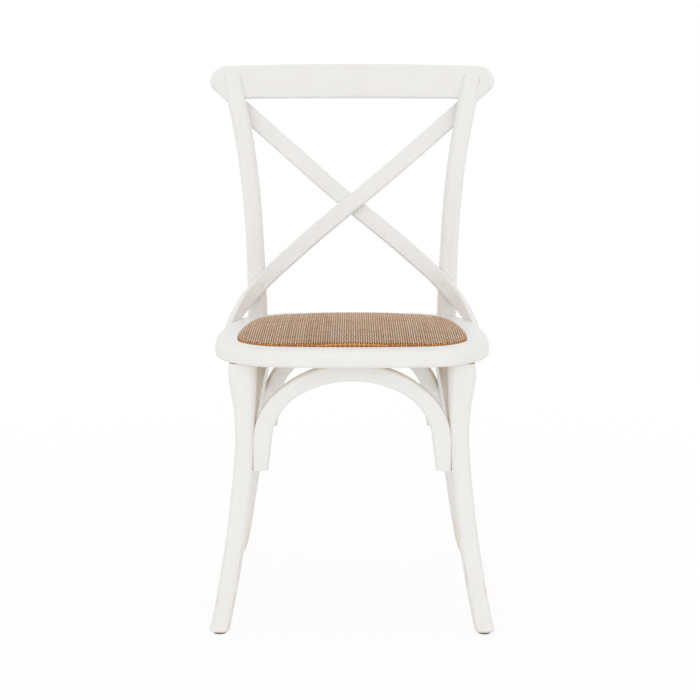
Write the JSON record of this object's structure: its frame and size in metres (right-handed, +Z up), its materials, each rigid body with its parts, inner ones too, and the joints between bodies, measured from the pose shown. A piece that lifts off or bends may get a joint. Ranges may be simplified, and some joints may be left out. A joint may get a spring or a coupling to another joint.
{
  "type": "cross back chair",
  "caption": "Armless dining chair with a curved crest rail, crossed back slats, arched stretchers under the seat frame and a woven drop-in seat.",
  "frame": {"origin": "on the floor, below the middle of the chair's overall footprint", "axes": "+Z up; the chair faces -Y, so its back is at +Y; +X is to the right of someone standing in front of it"},
  "size_m": [0.4976, 0.5174, 0.89],
  "materials": {
    "white_paint": "satin, rubbed through at edges",
    "woven_cane": "matte woven cane",
    "foam": "open-cell foam",
    "plywood": "sanded",
    "steel": "zinc plated",
    "brass": "machined",
    "nylon": "moulded"
  },
  "bodies": {
    "root": {"seat_frame": "white_paint", "front_leg_left": "white_paint", "front_leg_right": "white_paint", "rear_leg_left": "white_paint", "rear_leg_right": "white_paint", "crest_rail": "white_paint", "slat_front": "white_paint", "slat_back": "white_paint", "front_arch": "white_paint", "rear_arch": "white_paint", "left_arch": "white_paint", "right_arch": "white_paint", "woven_seat_cover": "woven_cane", "seat_foam": "foam", "seat_board": "plywood", "seat_board_screws": "steel", "post_bolts": "steel", "post_bolt_washers": "steel", "post_bolt_inserts": "brass", "arch_foot_screws": "steel", "arch_crown_screws": "steel", "slat_top_screws": "steel", "slat_post_screws": "steel", "slat_foot_screws": "steel", "slat_crossing_screw": "steel", "crest_rail_screws": "steel", "slat_plugs": "white_paint", "crest_rail_plugs": "white_paint", "glide_nails": "steel", "glide_front_left": "nylon", "glide_front_right": "nylon", "glide_rear_left": "nylon", "glide_rear_right": "nylon"}
  },
  "joints": []
}
